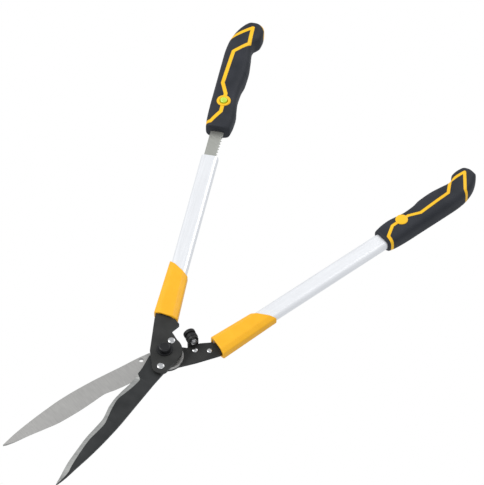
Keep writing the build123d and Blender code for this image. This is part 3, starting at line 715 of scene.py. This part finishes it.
# Saw plate, narrower towards the tip, with three-faced teeth.
def sawPiece():
    f = sawFacts
    h, back = leftHandle, f["base"] / 2
    tip = f["start"] - f["length"]
    gum = f["depth"] - f["gum"]
    half = f["thick"] / 2
    outline = [(f["start"] + f["tang"], -f["tangHalf"]), (f["start"] + f["tang"], f["tangHalf"]),
               (f["start"], f["tangHalf"]), (f["start"] - 0.5, back), (tip + 1.2, back), (tip, back - 1.0),
               (tip + 0.2, back - 2.0), (tip + f["slant"], back - f["tip"] + gum),
               (f["start"] - 7.0, -back + gum), (f["start"] - 6.0, -back), (f["start"] - 0.5, -back),
               (f["start"], -f["tangHalf"])]
    low = [h.at(s, v, -half) for s, v in outline]
    high = [h.at(s, v, half) for s, v in outline]
    verts, faces = tubeOf([low, high])
    plate = meshPiece("sawBlade", verts, faces, [sawSteel], smooth=20.0)
    change = plate.modifiers.new("edges", "BEVEL")
    change.width = f["edge"] * mm
    change.segments = 2
    change.limit_method = "ANGLE"
    settle(plate)
    # One tooth, pointing along -Y, with its root at the origin.
    wide, deep = f["pitch"] * f["toothShare"], f["depth"] - 0.1
    root, point, lean = half * f["rootThin"], half * f["pointThin"], wide * f["pointLean"]
    points = [(-wide / 2, 0.5, -root), (wide / 2, 0.5, -root), (wide / 2, 0.5, root), (-wide / 2, 0.5, root),
              (lean, -deep, -point), (lean, -deep, point),
              (-wide / 2, 0.0, -root), (wide / 2, 0.0, -root), (wide / 2, 0.0, root), (-wide / 2, 0.0, root)]
    sides = [(0, 1, 2, 3), (0, 6, 7, 1), (1, 7, 8, 2), (2, 8, 9, 3), (3, 9, 6, 0), (6, 4, 7), (7, 4, 5, 8),
             (8, 5, 9), (9, 5, 4, 6)]
    tooth = meshPiece("tooth", points, sides, [sawSteel], smooth=10.0)
    first = h.at(tip + f["slant"] + f["pitch"] * 0.8, back - f["tip"] + gum - 0.35)
    last = h.at(f["start"] - 10.0, -back + gum + 0.1)
    count = int(round(np.linalg.norm(last - first) / f["pitch"])) + 1
    step = (last - first) / (count - 1)
    # Teeth point to the finger side, which faces the other handle.
    turn = math.atan2(step[1], step[0])
    if np.dot(np.array([math.sin(turn), -math.cos(turn), 0]), -h.out) < 0:
        turn += math.pi
    repeatOn(plate, tooth, count, first, last, turn, sawSteel)
    return plate


saw = sawPiece()
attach(saw, "saw")
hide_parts("saw_blade")
print("saw made")

heights = {"bladeLow": 13.1, "leverHigh": 20.1, "bracketHigh": 9.5, "bracketLow": 3.5}
rivetLook = {"rim": 0.35, "dome": 1.12, "arc": 8, "steps": 48,
             "backHead": ((0.0, 1.4), (0.6, 1.2), (1.0, 0.3))}  # share of the radius, drop


# Rivets with domed heads.
def rivetPiece(name, places, low, high, radius, headRadius, finish, body, node, both):
    look, shells = rivetLook, []
    for x, y in places:
        profile = [(headRadius * wide, low - drop) for wide, drop in look["backHead"]] if both else [(0, low)]
        if both:
            profile.append((headRadius, low))
        profile += [(radius, low), (radius, high), (headRadius, high), (headRadius, high + look["rim"])]
        for k in range(1, look["arc"] + 1):
            t = k / look["arc"] * math.pi / 2
            wide = headRadius * math.cos(t) if k < look["arc"] else 0
            profile.append((wide, high + look["rim"] + look["dome"] * math.sin(t)))
        shells.append(latheShell(profile, (x, y, 0), upward, sideways, look["steps"]))
    verts, faces = joinShells(shells)
    obj = meshPiece(name, verts, faces, [finish], smooth=40.0)
    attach(obj, body)
    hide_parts(node)
    return obj


rivetPiece("leftRivets", ((-0.2, 15.6), (8.8, -22.9)), heights["bladeLow"], heights["leverHigh"], 2.5, 4.4,
           zincSteel, "left_arm", "left_rivets", both=False)
rivetPiece("bracketRivets", ((26.2, 24.3), (41.2, 32.2)), heights["bracketLow"], heights["bracketHigh"], 1.8,
           3.3, zincSteel, "right_arm", "bracket_rivets", both=True)
capProfile = ((4.0, 21.1), (6.6, 21.1), (7.0, 21.4), (7.0, 25.2), (6.75, 25.8), (6.1, 26.35), (5.3, 26.6),
              (4.9, 26.6), (4.6, 26.35), (4.3, 26.3), (0, 26.3), (0, 25.1), (4.0, 25.1), (4.0, 21.1))
capShell = latheShell(capProfile, (0, 0, 0), upward, sideways, lathed)
cap = meshPiece("pivotCap", *capShell, [blackSteel], smooth=30.0)
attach(cap, "right_arm")
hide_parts("pivot_cap_nut")
print("fasteners made")

sleeveFacts = {
    "left": {"handle": leftHandle, "foot": (47.0, 52.0), "body": "left_arm", "node": "left_sleeve"},
    "right": {"handle": rightHandle, "foot": (55.0, 51.0), "body": "right_arm", "node": "right_sleeve"},
}
sleeveLook = {
    "top": (114.0, 133.0), "wide": (29.2, 25.4), "deep": (16.6, 15.6), "chamfer": (6.4, 3.4), "soft": 1.6,
    "steps": 60, "lip": 1.3, "lipSteps": 6, "footInset": (1.0, 0.2), "footRecess": (1.4, 3.0),
    "bore": (90.0, 190.0), "boreHalf": (10.52, 6.27), "boreSquare": 0.3, "borePoints": 48,
}


# One ring of a sleeve: a chamfered oblong whose ends lie on slanted planes.
def sleeveRing(handle, facts, t, shrink, push=0.0):
    look = sleeveLook
    half = (look["wide"][0] * (1 - t) + look["wide"][1] * t) / 2 - shrink
    thick = (look["deep"][0] * (1 - t) + look["deep"][1] * t) / 2 - shrink
    cx, cz = look["chamfer"][0], look["chamfer"][1]
    corners = [(half, -thick + cz), (half, thick - cz), (half - cx, thick), (-half + cx, thick),
               (-half, thick - cz), (-half, -thick + cz), (-half + cx, -thick), (half - cx, -thick)]
    ring = []
    for k, (x, z) in enumerate(corners):
        before, after = corners[k - 1], corners[(k + 1) % len(corners)]
        here = np.array([x, z])
        a = np.array(before) - here
        b = np.array(after) - here
        soft = min(look["soft"], 0.4 * np.linalg.norm(a), 0.4 * np.linalg.norm(b))
        a, b = here + a / np.linalg.norm(a) * soft, here + b / np.linalg.norm(b) * soft
        for j in range(5):
            m = j / 4
            point = a * (1 - m) ** 2 + here * 2 * m * (1 - m) + b * m ** 2
            share = (point[0] + half) / (2 * half)
            start = facts["foot"][0] * (1 - share) + facts["foot"][1] * share
            end = look["top"][0] * (1 - share) + look["top"][1] * share
            ring.append(handle.at(start + (end - start) * t + push, point[0], point[1]))
    return ring


# Sleeve with broad chamfers, rounded lips and a recessed foot.
def sleevePiece(name, facts):
    look, handle, lip = sleeveLook, facts["handle"], sleeveLook["lip"]
    turns = [k / look["lipSteps"] * math.pi / 2 for k in range(look["lipSteps"] + 1)]
    foot = (look["footRecess"], look["footInset"])
    rings = [sleeveRing(handle, facts, 0.0, lip + inset, push) for inset, push in foot]
    for turn in turns:
        rings.append(sleeveRing(handle, facts, 0.0, lip * (1 - math.sin(turn)), lip * (1 - math.cos(turn))))
    for t in np.linspace(0.03, 0.97, look["steps"]):
        rings.append(sleeveRing(handle, facts, t, 0.0))
    for turn in turns:
        rings.append(sleeveRing(handle, facts, 1.0, lip * (1 - math.cos(turn)), lip * (math.sin(turn) - 1)))
    verts, faces = tubeOf(rings)
    obj = meshPiece(name, verts, faces, [sleeveYellow], smooth=60.0)
    bore = boreTool(handle, *look["bore"], *look["boreHalf"], look["boreSquare"], look["borePoints"])
    combine(obj, bore, "DIFFERENCE", 60)
    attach(obj, facts["body"])
    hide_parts(facts["node"])
    return obj


sleevePiece("leftSleeve", sleeveFacts["left"])
sleevePiece("rightSleeve", sleeveFacts["right"])
print("sleeves made")

# CAD nodes and their finishes.
stays = {
    "right_lever": leverPaint, "left_lever": leverPaint, "bumper_bracket": leverPaint,
    "plain_rivets": zincSteel, "right_tube": rightTube, "left_tube": leftTube,
    "right_plug": fillerPlastic, "left_plug": fillerPlastic, "right_sleeve": sleeveYellow,
    "left_sleeve": sleeveYellow, "right_sleeve_screws": zincSteel, "left_sleeve_screws": zincSteel,
    "right_grip_core": gripYellow, "saw_grip_core": gripYellow, "bumper_rubber": bufferRubber,
    "bumper_screw": zincSteel, "bumper_nut": zincSteel, "pivot_bolt": blackSteel,
    "pivot_front_washer": blackSteel, "pivot_back_washer": zincSteel, "saw_guide": fillerPlastic,
    "pivot_bushing": bronze, "saw_pins": zincSteel, "dark_blade": darkPaint, "plain_blade": plainSteel,
    "left_rivets": zincSteel, "bracket_rivets": zincSteel, "right_grip_skin": bufferRubber,
    "saw_grip_skin": bufferRubber, "saw_blade": sawSteel, "pivot_cap_nut": blackSteel,
    "button_collar": gripYellow, "release_button": buttonGreen,
}
rounded = {"right_lever": 0.35, "left_lever": 0.35, "bumper_bracket": 0.3, "right_sleeve": 0.5,
           "left_sleeve": 0.5, "right_tube": 0.2, "left_tube": 0.2, "bumper_nut": 0.2, "pivot_bolt": 0.3,
           "pivot_front_washer": 0.2}
for name, material in stays.items():
    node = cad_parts[name]
    for place in node.material_slots:
        place.link = "OBJECT"
        place.material = material
    if name in rounded:
        change = node.modifiers.new("softEdges", "BEVEL")
        change.width = rounded[name] * mm
        change.segments = 3
        change.limit_method = "ANGLE"
        change.angle_limit = math.radians(35)
        change.harden_normals = False
print("CAD nodes painted")

studio = {"backdrop": (1, 1, 1, 1), "backdropPower": 1.0, "light": (0.93, 0.96, 1, 1), "lightPower": 0.72,
          "aim": (0, 0.1, 0)}
world = bpy.data.worlds.new("studio")
bpy.context.scene.world = world
world.use_nodes = True
tree = world.node_tree
tree.nodes.clear()
seen, lit = tree.nodes.new("ShaderNodeBackground"), tree.nodes.new("ShaderNodeBackground")
for ground, colour, power in ((seen, "backdrop", "backdropPower"), (lit, "light", "lightPower")):
    ground.inputs["Color"].default_value = studio[colour]
    ground.inputs["Strength"].default_value = studio[power]
path, mixer, out = (tree.nodes.new(k) for k in ("ShaderNodeLightPath", "ShaderNodeMixShader",
                                                "ShaderNodeOutputWorld"))
tree.links.new(path.outputs["Is Camera Ray"], mixer.inputs[0])
tree.links.new(lit.outputs[0], mixer.inputs[1])
tree.links.new(seen.outputs[0], mixer.inputs[2])
tree.links.new(mixer.outputs[0], out.inputs["Surface"])

lamps = {
    "key": {"at": (-1.3, -0.3, 1.5), "size": 1.0, "power": 22.0},
    "fill": {"at": (1.0, -0.7, 1.2), "size": 1.2, "power": 5.0},
    "rim": {"at": (0.3, 1.4, 1.0), "size": 0.8, "power": 5.0},
}
for name, facts in lamps.items():
    data = bpy.data.lights.new(name, "AREA")
    data.size = facts["size"]
    data.energy = facts["power"]
    lamp = bpy.data.objects.new(name, data)
    lamp.location = facts["at"]
    lamp.rotation_euler = (Vector(studio["aim"]) - Vector(facts["at"])).to_track_quat("-Z", "Y").to_euler()
    bpy.context.scene.collection.objects.link(lamp)

bpy.context.scene.view_settings.view_transform = "Standard"
cameraFacts = {"at": (1.58216, -2.42891, 3.64569), "turn": (40.1539, 0.2741, 30.9638), "lens": 297.12,
               "sensor": 36.0, "far": 20.0}
data = bpy.data.cameras.new("main")
data.lens = cameraFacts["lens"]
data.sensor_width = cameraFacts["sensor"]
data.clip_end = cameraFacts["far"]
camera = bpy.data.objects.new("main", data)
camera.location = cameraFacts["at"]
camera.rotation_euler = Euler([math.radians(a) for a in cameraFacts["turn"]])
bpy.context.scene.collection.objects.link(camera)
bpy.context.scene.camera = camera
print("light and camera set")
